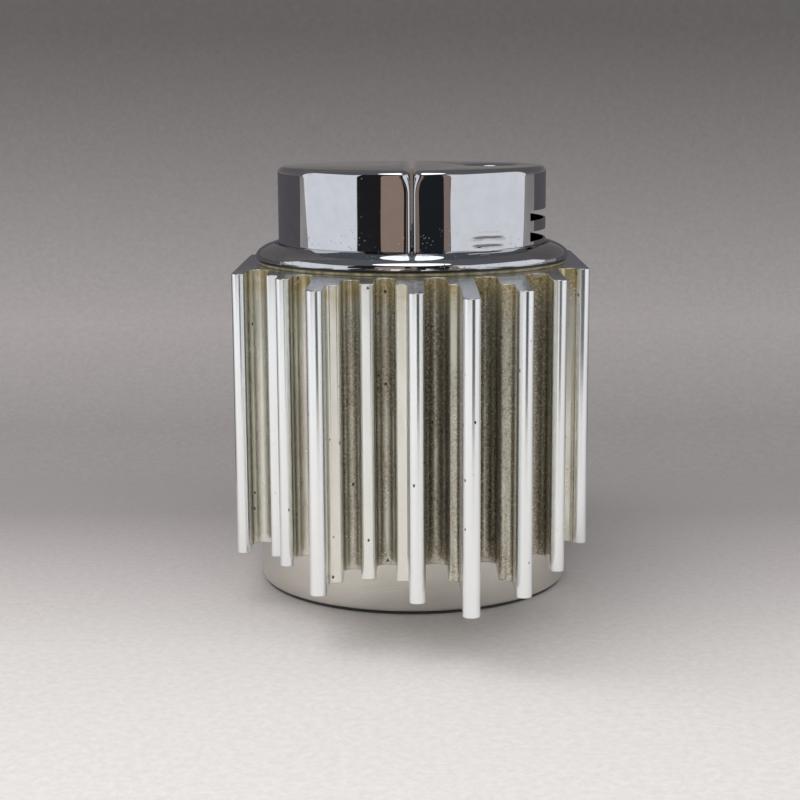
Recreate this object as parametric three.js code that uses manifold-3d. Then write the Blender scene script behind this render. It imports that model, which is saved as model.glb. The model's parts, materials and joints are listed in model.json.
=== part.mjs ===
// A table lighter: a heavy finned aluminium body with a push-button gas lighter insert.
// Millimetres, +Z up. The origin is the middle of the base, on the axis of the insert,
// at the height of the surface it stands on. The front of the lighter faces -Y.

import * as THREE from 'three';
import { mergeVertices } from 'three/addons/utils/BufferGeometryUtils.js';
import Module from 'manifold-3d';

const wasm = await Module();
wasm.setup();

// ---- driving dimensions ----

const GAP = 0.1;                       // clearance between two pieces that are fixed together
const SLIP = 0.3;                      // clearance between two pieces that move

const BODY_FIN_BOTTOM = 8.0;           // the fins stop above the turned foot
const BODY_TOP = 50.65;
const FOOT_RADIUS = 24.5;
const BORE_RADIUS = 22.6;
const FLOOR_TOP = 11.5;
const FLOOR_BOTTOM = 8.5;
const FLOOR_HOLE_RADIUS = 7.6;
const RECESS_RADIUS = 14.0;
const PAD_THICKNESS = 0.5;
const PAD_RADIUS = 24.1;

const NOSE_RADIUS = 0.4;               // round of a fin's outer corners
const ROOT_RADIUS = 0.7;               // fillet at the foot of a groove

// The front of the body from left to right: [left edge, right edge, reach in front of the axis].
// The back is the same row turned half a turn about the axis.
const FRONT_STEPS = [
  [-26.8, -24.8, 18.5],
  [-24.8, -21.4, 12.0],
  [-21.4, -19.7, 20.5],
  [-19.7, -17.5, 26.0],
  [-17.5, -14.4, 20.0],
  [-14.4, -12.0, 41.2],
  [-12.0, -10.0, 34.5],
  [-10.0, -7.5, 27.5],
  [-7.5, -5.3, 33.0],
  [-5.3, -2.4, 25.0],
  [-2.4, -0.6, 34.0],
  [-0.6, 1.7, 45.0],
  [1.7, 5.0, 24.7],
  [5.0, 6.5, 34.0],
  [6.5, 8.9, 51.5],
  [8.9, 12.2, 23.8],
  [12.2, 14.1, 34.0],
  [14.1, 16.4, 42.5],
  [16.4, 19.8, 19.6],
  [19.8, 22.0, 29.3],
  [22.0, 24.8, 12.0],
  [24.8, 26.8, 13.4],
];

const COLLAR_BOTTOM = 51.7;
const COLLAR_TOP = 53.9;
const COLLAR_RADIUS = 24.6;
const COLLAR_HOLE_RADIUS = 21.5;
const SKIRT_RADIUS = 22.3;
const SKIRT_BOTTOM = 44.0;

const CAP_RADIUS = 21.0;
const CAP_TOP = 65.7;
const CAP_WALL = 0.8;
const CAP_EDGE_RADIUS = 1.0;
const SPLIT_HALF_GAP = 0.2;            // half of the gap between button and hood
const HOOD_BOTTOM = 47.1;
const HOOD_FRONT_BOTTOM = 51.6;
const BUTTON_BOTTOM = 50.9;
const BUTTON_FRONT_BOTTOM = 54.5;
const BUTTON_TRAVEL = 3.0;

const FLAME_X = 12.2;                  // the burner and the flame hole share this axis
const FLAME_HOLE_RADIUS = 3.8;
const SLOT_HALF_ANGLE = 29;            // degrees each side of +X
const SLOTS = [[54.5, 56.0], [57.6, 59.15]];

const DECK_BOTTOM = 46.0;
const DECK_TOP = 47.0;
const DECK_RADIUS = 21.3;

const PIEZO_X = -12.7;
const PIEZO_HALF_X = 3.5;
const PIEZO_HALF_Y = 3.5;
const PIEZO_BOTTOM = 36.6;
const PIEZO_TOP = 56.0;
const PLUNGER_RADIUS = 1.9;
const PLUNGER_BOTTOM = 53.4;

const CORE_TOP = CAP_TOP - CAP_WALL - GAP;
const CORE_BOTTOM = 62.2;
const GUIDE_X = -6.5;
const GUIDE_Y = 12.5;

const LEVER_TOP = 50.3;
const LEVER_THICKNESS = 0.8;
const PIVOT_X = 6.0;
const PIVOT_Z = 48.9;

const TANK_RADIUS = 20.8;
const TANK_BOTTOM = FLOOR_TOP + SLIP;
const TANK_TOP = 33.6;
const TANK_WALL = 1.5;
const STUB_RADIUS = 7.2;
const STUB_BOTTOM = 5.4;
const LID_BOTTOM = 34.1;
const LID_TOP = 36.0;

const STANDOFF_CIRCLE = 17.5;
const STANDOFF_ANGLES = [90, 210, 330];

const TURNED_SIDES = 48;               // flats round a turned piece
const SHELL_SIDES = 64;                // flats round the foot, the collar and the cap

// ---- geometry helpers ----

function toSolid(geometry) {
  const bare = geometry.clone();
  bare.deleteAttribute('normal');
  bare.deleteAttribute('uv');
  const merged = mergeVertices(bare, 1e-4);
  return new wasm.Manifold(new wasm.Mesh({
    numProp: 3,
    vertProperties: Float32Array.from(merged.attributes.position.array),
    triVerts: Uint32Array.from(merged.index.array),
  }));
}

function toGeometry(solid) {
  const mesh = solid.getMesh();
  const geometry = new THREE.BufferGeometry();
  geometry.setAttribute('position', new THREE.BufferAttribute(mesh.vertProperties, 3));
  geometry.setIndex(new THREE.BufferAttribute(mesh.triVerts, 1));
  geometry.computeVertexNormals();
  return geometry;
}

function join(...solids) {
  return solids.reduce((sum, solid) => sum.add(solid));
}

function cut(base, ...tools) {
  return tools.reduce((left, tool) => left.subtract(tool), base);
}

// A profile of [radius, height] points, counter-clockwise, turned about the Z axis.
function turned(profile, x = 0, y = 0, sides = TURNED_SIDES) {
  const points = profile.map(([radius, height]) => new THREE.Vector2(radius, height));
  const geometry = new THREE.LatheGeometry(points, sides);
  geometry.rotateX(Math.PI / 2);
  geometry.translate(x, y, 0);
  return toSolid(geometry);
}

function rod(radius, bottom, top, x = 0, y = 0, sides = 16) {
  const profile = [[0, bottom], [radius, bottom], [radius, top], [0, top]];
  return turned(profile, x, y, sides);
}

function ring(inner, outer, bottom, top, x = 0, y = 0, sides = TURNED_SIDES) {
  const profile = [[inner, bottom], [outer, bottom], [outer, top], [inner, top], [inner, bottom]];
  return turned(profile, x, y, sides);
}

function block(x0, x1, y0, y1, z0, z1) {
  const geometry = new THREE.BoxGeometry(x1 - x0, y1 - y0, z1 - z0);
  geometry.translate((x0 + x1) / 2, (y0 + y1) / 2, (z0 + z1) / 2);
  return toSolid(geometry);
}

function crossRod(radius, x, z, y0, y1, sides = 20) {
  const geometry = new THREE.CylinderGeometry(radius, radius, y1 - y0, sides);
  geometry.translate(x, (y0 + y1) / 2, z);
  return toSolid(geometry);
}

// A round bar swept along a curve.
function sweptBar(curve, radius, steps, sides) {
  const section = new THREE.Shape();
  section.absarc(0, 0, radius, 0, Math.PI * 2);
  const points = section.getPoints(sides / 2);
  const outline = new THREE.Shape(points);
  const geometry = new THREE.ExtrudeGeometry(outline, { extrudePath: curve, steps, curveSegments: 1 });
  return toSolid(geometry);
}

class Helix extends THREE.Curve {
  constructor(radius, bottom, top, turns, x, y) {
    super();
    Object.assign(this, { radius, bottom, top, turns, x, y });
  }

  getPoint(t, target = new THREE.Vector3()) {
    const angle = t * this.turns * Math.PI * 2;
    return target.set(
      this.x + this.radius * Math.cos(angle),
      this.y + this.radius * Math.sin(angle),
      this.bottom + (this.top - this.bottom) * t,
    );
  }
}

function coil({ radius, wire, bottom, top, turns, x, y, stepsPerTurn = 12 }) {
  const helix = new Helix(radius, bottom + wire, top - wire, turns, x, y);
  return sweptBar(helix, wire, Math.round(turns * stepsPerTurn), 6);
}

function polar(radius, degrees) {
  const angle = THREE.MathUtils.degToRad(degrees);
  return [radius * Math.cos(angle), radius * Math.sin(angle)];
}

// ---- materials ----

function finish(color, roughness, metalness) {
  return new THREE.MeshStandardMaterial({ color, roughness, metalness });
}

const ALUMINIUM = finish(0xb4b1a8, 0.35, 1.0);
const CHROME = finish(0xd4d6da, 0.06, 1.0);
const STEEL = finish(0x9a9b9d, 0.35, 1.0);
const BRASS = finish(0xb8954d, 0.3, 1.0);
const FELT = finish(0x23221f, 0.95, 0.0);
const GASKET = finish(0x8f8a63, 0.7, 0.0);
const BLACK_PLASTIC = finish(0x1f1f20, 0.55, 0.0);
const WHITE_PLASTIC = finish(0xcfcabb, 0.5, 0.0);
const CERAMIC = finish(0xe6e2d8, 0.4, 0.0);
const RUBBER = finish(0x191919, 0.8, 0.0);
const INSULATION = finish(0x7a1f19, 0.5, 0.0);

const lighter = new THREE.Group();
lighter.name = 'table_lighter';

function add(name, solid, material) {
  const mesh = new THREE.Mesh(toGeometry(solid), material);
  mesh.name = name;
  lighter.add(mesh);
}

// ---- finned body ----

// The corners of the front row, from left to right, as seen from above (-Y is the front).
function frontCorners() {
  return FRONT_STEPS.flatMap(([left, right, reach]) => [
    new THREE.Vector2(left, -reach),
    new THREE.Vector2(right, -reach),
  ]);
}

// A closed outline whose corners are rounded: outer corners by NOSE_RADIUS, inner by ROOT_RADIUS.
function roundedOutline(corners) {
  const shape = new THREE.Shape();
  corners.forEach((corner, index) => {
    const before = corners.at(index - 1);
    const after = corners[(index + 1) % corners.length];
    const arriving = corner.clone().sub(before);
    const leaving = after.clone().sub(corner);
    const wanted = arriving.cross(leaving) > 0 ? NOSE_RADIUS : ROOT_RADIUS;
    const radius = Math.min(wanted, arriving.length() / 2.5, leaving.length() / 2.5);
    const start = corner.clone().sub(arriving.setLength(radius));
    const end = corner.clone().add(leaving.setLength(radius));
    if (index === 0) {
      shape.moveTo(start.x, start.y);
    } else {
      shape.lineTo(start.x, start.y);
    }
    shape.quadraticCurveTo(corner.x, corner.y, end.x, end.y);
  });
  shape.closePath();
  return shape;
}

function bodyExtrusion() {
  const front = frontCorners();
  const back = front.map((corner) => corner.clone().negate());
  const outline = roundedOutline([...front, ...back]);
  const height = BODY_TOP - BODY_FIN_BOTTOM;
  const fins = new THREE.ExtrudeGeometry(outline, {
    depth: height,
    bevelEnabled: false,
    curveSegments: 2,
  });
  fins.translate(0, 0, BODY_FIN_BOTTOM);
  const foot = rod(FOOT_RADIUS, PAD_THICKNESS, BODY_FIN_BOTTOM + 1, 0, 0, SHELL_SIDES);
  return cut(
    join(toSolid(fins), foot),
    rod(BORE_RADIUS, FLOOR_TOP, BODY_TOP + 1, 0, 0, SHELL_SIDES),
    rod(RECESS_RADIUS, 0, FLOOR_BOTTOM, 0, 0, TURNED_SIDES),
    rod(FLOOR_HOLE_RADIUS, 0, FLOOR_TOP + 1, 0, 0, TURNED_SIDES),
  );
}

add('body_extrusion', bodyExtrusion(), ALUMINIUM);
add('base_pad', ring(RECESS_RADIUS + 0.6, PAD_RADIUS, 0, PAD_THICKNESS - 0.05), FELT);

// ---- collar and its gasket ----

function collarProfile() {
  const shoulder = new THREE.CubicBezierCurve(
    new THREE.Vector2(COLLAR_RADIUS, COLLAR_BOTTOM + 0.35),
    new THREE.Vector2(COLLAR_RADIUS - 0.25, COLLAR_BOTTOM + 1.3),
    new THREE.Vector2(COLLAR_HOLE_RADIUS + 1.4, COLLAR_TOP - 0.35),
    new THREE.Vector2(COLLAR_HOLE_RADIUS + 0.25, COLLAR_TOP),
  );
  const dome = shoulder.getPoints(5).map((point) => [point.x, point.y]);
  return [
    [COLLAR_HOLE_RADIUS, SKIRT_BOTTOM],
    [SKIRT_RADIUS, SKIRT_BOTTOM],
    [SKIRT_RADIUS, COLLAR_BOTTOM],
    [COLLAR_RADIUS - 0.1, COLLAR_BOTTOM],
    ...dome,
    [COLLAR_HOLE_RADIUS, COLLAR_TOP - 0.25],
    [COLLAR_HOLE_RADIUS, SKIRT_BOTTOM],
  ];
}

add('collar', turned(collarProfile(), 0, 0, SHELL_SIDES), CHROME);
add('collar_gasket', ring(SKIRT_RADIUS + GAP, COLLAR_RADIUS + 0.1, BODY_TOP + 0.05, BODY_TOP + 0.85), GASKET);

// ---- cap: push button on the left, flame hood on the right ----

const CAP_EDGE_STEPS = 3;

// A closed quarter-round edge between the wall and the top of a cup, inside and outside.
function cupProfile(radius, bottom, top, wall, edge) {
  const arc = (centreR, centreZ, size, from, to) => {
    const points = [];
    for (let i = 0; i <= CAP_EDGE_STEPS; i += 1) {
      const angle = THREE.MathUtils.degToRad(from + ((to - from) * i) / CAP_EDGE_STEPS);
      points.push([centreR + size * Math.cos(angle), centreZ + size * Math.sin(angle)]);
    }
    return points;
  };
  const centreR = radius - edge;
  const centreZ = top - edge;
  return [
    [radius - wall, bottom],
    [radius, bottom],
    ...arc(centreR, centreZ, edge, 0, 90),
    [0, top],
    [0, top - wall],
    ...arc(centreR, centreZ, edge - wall, 90, 0),
    [radius - wall, bottom],
  ];
}

// side is -1 for the button and +1 for the hood: half a cup, closed by a flat wall at the split.
function halfCap(side, bottom, flatBottom) {
  const cup = turned(cupProfile(CAP_RADIUS, bottom, CAP_TOP, CAP_WALL, CAP_EDGE_RADIUS), 0, 0, SHELL_SIDES);
  const far = CAP_RADIUS + 1;
  const sliceX = [side * SPLIT_HALF_GAP, side * far].sort((a, b) => a - b);
  const half = cup.intersect(block(...sliceX, -far, far, bottom - 1, CAP_TOP + 1));
  const wallX = [side * SPLIT_HALF_GAP, side * (SPLIT_HALF_GAP + CAP_WALL)].sort((a, b) => a - b);
  const flat = block(...wallX, -far, far, flatBottom, CAP_TOP + 1);
  const envelope = turned([
    [0, bottom],
    [CAP_RADIUS - 0.01, bottom],
    [CAP_RADIUS - 0.01, CAP_TOP - CAP_EDGE_RADIUS],
    [CAP_RADIUS - CAP_EDGE_RADIUS, CAP_TOP - 0.01],
    [0, CAP_TOP - 0.01],
  ], 0, 0, SHELL_SIDES);
  return join(half, flat.intersect(envelope));
}

// A slot that wraps round the hood's wall, centred on +X.
function wallSlot([bottom, top]) {
  const shape = new THREE.Shape();
  const angle = THREE.MathUtils.degToRad(SLOT_HALF_ANGLE);
  const inner = CAP_RADIUS - 4;
  const outer = CAP_RADIUS + 2;
  shape.absarc(0, 0, outer, -angle, angle);
  shape.absarc(0, 0, inner, angle, -angle, true);
  shape.closePath();
  const geometry = new THREE.ExtrudeGeometry(shape, {
    depth: top - bottom,
    bevelEnabled: false,
    curveSegments: 12,
  });
  geometry.translate(0, 0, bottom);
  return toSolid(geometry);
}

const LUG_X = 8.0;
const LUG_INNER_Y = 15.4;
const LUG_OUTER_Y = 18.9;
const LUG_TOP = 52.0;
const LUG_SCREW_Y = 16.9;

function hoodLug(side) {
  const y = [side * LUG_INNER_Y, side * LUG_OUTER_Y].sort((a, b) => a - b);
  return block(LUG_X - 2, LUG_X + 2, ...y, HOOD_BOTTOM, LUG_TOP);
}

function flameHood() {
  const shell = join(halfCap(1, HOOD_BOTTOM, HOOD_FRONT_BOTTOM), hoodLug(-1), hoodLug(1));
  return cut(
    shell,
    rod(FLAME_HOLE_RADIUS, CAP_TOP - 3, CAP_TOP + 1, FLAME_X, 0, 40),
    ...SLOTS.map(wallSlot),
    rod(0.9, HOOD_BOTTOM - 1, HOOD_BOTTOM + 3.4, LUG_X, LUG_SCREW_Y),
    rod(0.9, HOOD_BOTTOM - 1, HOOD_BOTTOM + 3.4, LUG_X, -LUG_SCREW_Y),
  );
}

add('flame_hood', flameHood(), CHROME);
add('push_button', halfCap(-1, BUTTON_BOTTOM, BUTTON_FRONT_BOTTOM), CHROME);

// ---- deck plate, its standoffs and screws ----

function standoffPlaces() {
  return STANDOFF_ANGLES.map((degrees) => polar(STANDOFF_CIRCLE, degrees));
}

const ELECTRODE_Y = 7.2;

function deckPlate() {
  const plate = rod(DECK_RADIUS, DECK_BOTTOM, DECK_TOP, 0, 0, TURNED_SIDES);
  const screwHoles = standoffPlaces().map(([x, y]) => rod(1.0, 40, 50, x, y));
  const lugHoles = [-1, 1].map((side) => rod(1.0, 40, 50, LUG_X, side * LUG_SCREW_Y));
  const piezoHole = block(
    PIEZO_X - PIEZO_HALF_X - 0.2, PIEZO_X + PIEZO_HALF_X + 0.2,
    -PIEZO_HALF_Y - 0.2, PIEZO_HALF_Y + 0.2, 40, 50,
  );
  const leverWindow = block(PIEZO_X + PIEZO_HALF_X, -3.4, -2.9, 2.9, 40, 50);
  return cut(
    plate,
    ...screwHoles,
    ...lugHoles,
    piezoHole,
    leverWindow,
    rod(2.2, 40, 50, FLAME_X, 0),
    rod(1.8, 40, 50, FLAME_X, ELECTRODE_Y),
  );
}

function screw(headRadius, headBottom, headTop, shankRadius, shankBottom, shankTop, x, y) {
  const head = rod(headRadius, headBottom, headTop, x, y);
  const shank = rod(shankRadius, shankBottom, shankTop, x, y, 16);
  return join(head, shank);
}

add('deck_plate', deckPlate(), STEEL);
standoffPlaces().forEach(([x, y], index) => {
  const post = cut(rod(2.0, LID_TOP + GAP, DECK_BOTTOM - GAP, x, y), rod(0.9, 39.7, DECK_BOTTOM, x, y, 16));
  add(`deck_standoff_${index + 1}`, post, BRASS);
  const slot = block(x - 2, x + 2, y - 0.25, y + 0.25, DECK_TOP + 0.6, DECK_TOP + 2);
  const body = screw(1.7, DECK_TOP + 0.05, DECK_TOP + 1.1, 0.7, 40, DECK_TOP + 0.1, x, y);
  add(`deck_screw_${index + 1}`, cut(body, slot), STEEL);
});
[-1, 1].forEach((side) => {
  const y = side * LUG_SCREW_Y;
  const body = screw(1.7, DECK_BOTTOM - 1.1, DECK_BOTTOM - 0.05, 0.7, DECK_BOTTOM - 0.1, 50.2, LUG_X, y);
  const slot = block(LUG_X - 2, LUG_X + 2, y - 0.25, y + 0.25, DECK_BOTTOM - 2, DECK_BOTTOM - 0.6);
  add(side < 0 ? 'hood_screw_front' : 'hood_screw_rear', cut(body, slot), STEEL);
});

// ---- button core, guides and return spring ----

function buttonCore() {
  const limit = SPLIT_HALF_GAP + CAP_WALL + GAP;
  const plate = rod(19.6, CORE_BOTTOM, CORE_TOP, 0, 0, TURNED_SIDES)
    .intersect(block(-22, -limit, -22, 22, CORE_BOTTOM - 1, CORE_TOP + 1));
  const sleeves = [-1, 1].map((side) => rod(2.2, 54, CORE_BOTTOM + 0.5, GUIDE_X, side * GUIDE_Y));
  const bores = [-1, 1].map((side) => rod(1.2, 50, CORE_TOP + 1, GUIDE_X, side * GUIDE_Y));
  const leg = block(-8.2, -6.4, -1.5, 1.5, LEVER_TOP + 0.4, CORE_BOTTOM + 0.5);
  const socket = rod(PLUNGER_RADIUS + GAP, CORE_BOTTOM - 1, CORE_BOTTOM + 1.2, PIEZO_X, 0);
  return cut(join(plate, ...sleeves, leg), ...bores, socket);
}

add('button_core', buttonCore(), WHITE_PLASTIC);
[-1, 1].forEach((side) => {
  const post = rod(0.9, DECK_TOP + GAP, 60, GUIDE_X, side * GUIDE_Y);
  add(side < 0 ? 'guide_post_front' : 'guide_post_rear', post, STEEL);
});
add('button_return_spring', coil({
  radius: 2.75,
  wire: 0.32,
  bottom: PIEZO_TOP + GAP,
  top: CORE_BOTTOM - GAP,
  turns: 4,
  x: PIEZO_X,
  y: 0,
}), STEEL);

// ---- piezo igniter ----

function piezoCase() {
  const shell = block(
    PIEZO_X - PIEZO_HALF_X, PIEZO_X + PIEZO_HALF_X,
    -PIEZO_HALF_Y, PIEZO_HALF_Y, PIEZO_BOTTOM, PIEZO_TOP,
  );
  const well = rod(PLUNGER_RADIUS + SLIP, PLUNGER_BOTTOM - BUTTON_TRAVEL - 0.4, PIEZO_TOP + 1, PIEZO_X, 0);
  return cut(shell, well);
}

add('piezo_case', piezoCase(), BLACK_PLASTIC);
add('piezo_plunger', rod(PLUNGER_RADIUS, PLUNGER_BOTTOM, CORE_BOTTOM + 1.1, PIEZO_X, 0), BRASS);

const LEAD_RADIUS = 0.6;

function igniterLead() {
  const route = new THREE.CatmullRomCurve3([
    new THREE.Vector3(PIEZO_X, PIEZO_HALF_Y + SLIP, 40.0),
    new THREE.Vector3(PIEZO_X, 6.2, 40.2),
    new THREE.Vector3(-8.0, 9.2, 40.8),
    new THREE.Vector3(0.0, 10.6, 41.0),
    new THREE.Vector3(7.5, 10.0, 40.8),
    new THREE.Vector3(11.4, 8.2, 41.2),
    new THREE.Vector3(FLAME_X, ELECTRODE_Y, 42.4),
    new THREE.Vector3(FLAME_X, ELECTRODE_Y, 43.7),
  ]);
  return sweptBar(route, LEAD_RADIUS, 30, 8);
}

function electrode() {
  const route = new THREE.CatmullRomCurve3([
    new THREE.Vector3(FLAME_X, ELECTRODE_Y, 44.2),
    new THREE.Vector3(FLAME_X, ELECTRODE_Y, 50.0),
    new THREE.Vector3(FLAME_X, ELECTRODE_Y, 56.0),
    new THREE.Vector3(FLAME_X, ELECTRODE_Y - 0.6, 57.7),
    new THREE.Vector3(FLAME_X, ELECTRODE_Y - 2.2, 58.4),
    new THREE.Vector3(FLAME_X, 2.9, 58.4),
  ]);
  return sweptBar(route, 0.35, 16, 6);
}

add('igniter_lead', igniterLead(), INSULATION);
add('electrode_holder', ring(0.6, 1.5, 44.4, 53, FLAME_X, ELECTRODE_Y, 20), CERAMIC);
add('electrode', electrode(), STEEL);

// ---- burner, jet and the lever that lifts it ----

function windGuard() {
  const tube = ring(3.9, 4.5, DECK_TOP + GAP, 57, FLAME_X, 0, 28);
  const leverWindow = block(FLAME_X - 6, FLAME_X - 2, -3.0, 3.0, DECK_TOP, 53.2);
  const airWindow = block(FLAME_X - 1.2, FLAME_X + 1.2, -6, 6, 48.5, 51);
  return cut(tube, leverWindow, airWindow);
}

function gasJet() {
  const tube = ring(0.45, 1.2, 40.2, 54, FLAME_X, 0, 20);
  const flange = ring(0.8, 2.2, LEVER_TOP + 0.15, LEVER_TOP + 1.0, FLAME_X, 0, 20);
  return join(tube, flange);
}

function jetLever() {
  const plate = block(-8.4, FLAME_X + 1.8, -2.4, 2.4, LEVER_TOP - LEVER_THICKNESS, LEVER_TOP);
  const boss = block(PIVOT_X - 1.1, PIVOT_X + 1.1, -2.4, 2.4, 47.9, LEVER_TOP - 0.2);
  const fork = block(FLAME_X - 1.6, FLAME_X + 3, -1.6, 1.6, 49, 51);
  return cut(join(plate, boss), fork, crossRod(0.65, PIVOT_X, PIVOT_Z, -4, 4));
}

function leverBracket() {
  const channel = block(PIVOT_X - 1.5, PIVOT_X + 1.2, -3.6, 3.6, DECK_TOP + GAP, 50.2);
  const throat = block(PIVOT_X - 3, PIVOT_X + 3, -2.75, 2.75, DECK_TOP + 0.5, 52);
  return cut(channel, throat, crossRod(0.6, PIVOT_X, PIVOT_Z, -5, 5));
}

function valveBody() {
  const hexagon = rod(3.5, LID_TOP + GAP, 44, FLAME_X, 0, 6);
  const spigot = rod(2.0, 33, LID_TOP + 0.5, FLAME_X, 0);
  const bore = rod(1.5, 38.5, 45, FLAME_X, 0, 20);
  const feed = rod(0.5, 30, 40, FLAME_X, 0, 12);
  return cut(join(hexagon, spigot), bore, feed);
}

add('wind_guard', windGuard(), STEEL);
add('gas_jet', gasJet(), BRASS);
add('jet_lever', jetLever(), STEEL);
add('lever_pin', crossRod(0.5, PIVOT_X, PIVOT_Z, -4.0, 4.0), STEEL);
add('lever_bracket', leverBracket(), STEEL);
add('valve_body', valveBody(), BRASS);

// ---- gas tank ----

const ADJUSTER_POCKET_RADIUS = 6.0;
const ADJUSTER_POCKET_TOP = 8.0;
const FILLER_BORE_RADIUS = 2.5;

function tankShell() {
  const inner = TANK_RADIUS - TANK_WALL;
  return turned([
    [FILLER_BORE_RADIUS, ADJUSTER_POCKET_TOP],
    [ADJUSTER_POCKET_RADIUS, ADJUSTER_POCKET_TOP],
    [ADJUSTER_POCKET_RADIUS, STUB_BOTTOM],
    [STUB_RADIUS, STUB_BOTTOM],
    [STUB_RADIUS, TANK_BOTTOM],
    [TANK_RADIUS - 0.8, TANK_BOTTOM],
    [TANK_RADIUS, TANK_BOTTOM + 0.8],
    [TANK_RADIUS, TANK_TOP],
    [inner, TANK_TOP],
    [inner, TANK_BOTTOM + 2],
    [FILLER_BORE_RADIUS, TANK_BOTTOM + 2],
    [FILLER_BORE_RADIUS, ADJUSTER_POCKET_TOP],
  ]);
}

function tankLid() {
  const disc = rod(TANK_RADIUS, LID_BOTTOM, LID_TOP, 0, 0, TURNED_SIDES);
  const plug = rod(TANK_RADIUS - TANK_WALL - 0.2, LID_BOTTOM - 1.8, LID_BOTTOM + 0.5, 0, 0, TURNED_SIDES);
  return cut(join(disc, plug), rod(2.2, 30, 40, FLAME_X, 0));
}

add('tank_shell', tankShell(), STEEL);
add('tank_lid', tankLid(), STEEL);
add('tank_seal', ring(TANK_RADIUS - TANK_WALL + 0.1, TANK_RADIUS - 0.1, TANK_TOP + 0.05, LID_BOTTOM - 0.05), RUBBER);

// ---- fixing to the body, filler valve and flame adjuster ----

add('clamp_washer', ring(STUB_RADIUS + 0.3, 12.8, FLOOR_BOTTOM - 0.8, FLOOR_BOTTOM - 0.05), STEEL);
add('clamp_nut', cut(
  rod(12.2, STUB_BOTTOM + 0.2, FLOOR_BOTTOM - 0.9, 0, 0, 6),
  rod(STUB_RADIUS + 0.15, 0, 20, 0, 0, 48),
), BRASS);

function fillerValveBody() {
  return turned([
    [1.4, STUB_BOTTOM + 0.4],
    [2.4, STUB_BOTTOM + 0.4],
    [2.4, TANK_BOTTOM + 6],
    [0.6, TANK_BOTTOM + 6],
    [0.6, TANK_BOTTOM + 4.8],
    [1.4, TANK_BOTTOM + 4.8],
    [1.4, STUB_BOTTOM + 0.4],
  ], 0, 0, 24);
}

function fillerValveStem() {
  return turned([
    [0, STUB_BOTTOM + 0.7],
    [0.9, STUB_BOTTOM + 0.7],
    [0.9, 9.4],
    [1.15, 9.4],
    [1.15, 10.4],
    [0, 10.4],
  ], 0, 0, 20);
}

function flameAdjuster() {
  const wheel = ring(2.9, 5.7, STUB_BOTTOM + 0.2, ADJUSTER_POCKET_TOP - 0.3, 0, 0, 36);
  const notches = [0, 60, 120, 180, 240, 300].map((degrees) => {
    const [x, y] = polar(5.7, degrees);
    return rod(0.7, 0, 6.6, x, y, 8);
  });
  return cut(wheel, ...notches);
}

add('filler_valve_body', fillerValveBody(), BRASS);
add('filler_valve_stem', fillerValveStem(), STEEL);
add('filler_spring', coil({
  radius: 0.85,
  wire: 0.18,
  bottom: 10.55,
  top: TANK_BOTTOM + 4.6,
  turns: 5,
  x: 0,
  y: 0,
  stepsPerTurn: 8,
}), STEEL);
add('flame_adjuster', flameAdjuster(), BLACK_PLASTIC);

export default lighter;
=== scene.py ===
"""Looks of a table lighter: a finned aluminium body with a chrome push-button gas insert.

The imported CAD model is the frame. Plan sizes below are in millimetres, and M turns them
into metres. The front of the lighter faces -Y and the flame hood is on the +X side.
"""
import json
import math

import bmesh
import bpy
from mathutils import Matrix, Vector, kdtree


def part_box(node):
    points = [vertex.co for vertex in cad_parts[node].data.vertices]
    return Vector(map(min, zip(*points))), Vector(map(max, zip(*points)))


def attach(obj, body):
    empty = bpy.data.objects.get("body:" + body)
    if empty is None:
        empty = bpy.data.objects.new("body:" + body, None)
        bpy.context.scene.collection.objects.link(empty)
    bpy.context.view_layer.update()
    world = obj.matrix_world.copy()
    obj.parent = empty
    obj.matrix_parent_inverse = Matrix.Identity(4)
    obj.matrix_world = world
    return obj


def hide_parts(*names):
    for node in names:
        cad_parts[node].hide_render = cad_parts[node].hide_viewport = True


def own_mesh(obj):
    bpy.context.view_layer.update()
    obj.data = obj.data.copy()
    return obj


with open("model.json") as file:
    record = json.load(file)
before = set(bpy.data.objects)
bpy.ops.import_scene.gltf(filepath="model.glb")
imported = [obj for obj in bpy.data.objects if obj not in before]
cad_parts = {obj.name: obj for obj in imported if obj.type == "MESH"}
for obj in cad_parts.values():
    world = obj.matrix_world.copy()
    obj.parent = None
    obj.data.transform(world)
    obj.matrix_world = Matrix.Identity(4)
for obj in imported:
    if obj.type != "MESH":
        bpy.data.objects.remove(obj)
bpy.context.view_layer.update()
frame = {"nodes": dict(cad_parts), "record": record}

M = 0.001
BODY = "lighter_body"

# ---------------------------------------------------------------- sizes, in millimetres

FIN_BOTTOM = 8.0
BODY_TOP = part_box("body_extrusion")[1].z / M
FOOT_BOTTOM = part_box("body_extrusion")[0].z / M
FOOT_RADIUS = 24.5
BORE_RADIUS = 22.6
FLOOR_BOTTOM = 8.5
FLOOR_TOP = 11.5
FLOOR_HOLE_RADIUS = 7.6
RECESS_RADIUS = 14.0
FIN_EDGE = 0.16              # small bevel along the cut ends of the fins

CAP_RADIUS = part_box("flame_hood")[1].x / M
CAP_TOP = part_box("flame_hood")[1].z / M
HOOD_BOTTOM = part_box("flame_hood")[0].z / M
BUTTON_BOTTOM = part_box("push_button")[0].z / M
SPLIT_HALF_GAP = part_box("flame_hood")[0].x / M
CAP_WALL = 0.3
CAP_EDGE = 1.0               # round of the cap's top edge
SPLIT_EDGE = 0.5            # round of the upright edges at the split
SPLIT_EDGE_TOP = 1.5         # the same at the top, where they open out
SPLIT_OPENING = 3.5          # height over which they open out
SPLIT_EDGE_GROWTH = 0.2      # how much wider they get per millimetre over the cap's top edge
FLAME_X = 12.2
FLAME_HOLE_RADIUS = 3.8
FLAME_HOLE_LIP = 0.6
SLOTS = ((54.5, 56.0), (57.6, 59.15))    # bottom and top of the hood's air slots
SLOT_HALF_ANGLE = 31.5
LEVER_HALF_WIDTH = 3.4       # the hood's flat wall leaves room for the lever up to this height
LEVER_GAP_TOP = 51.8
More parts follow.
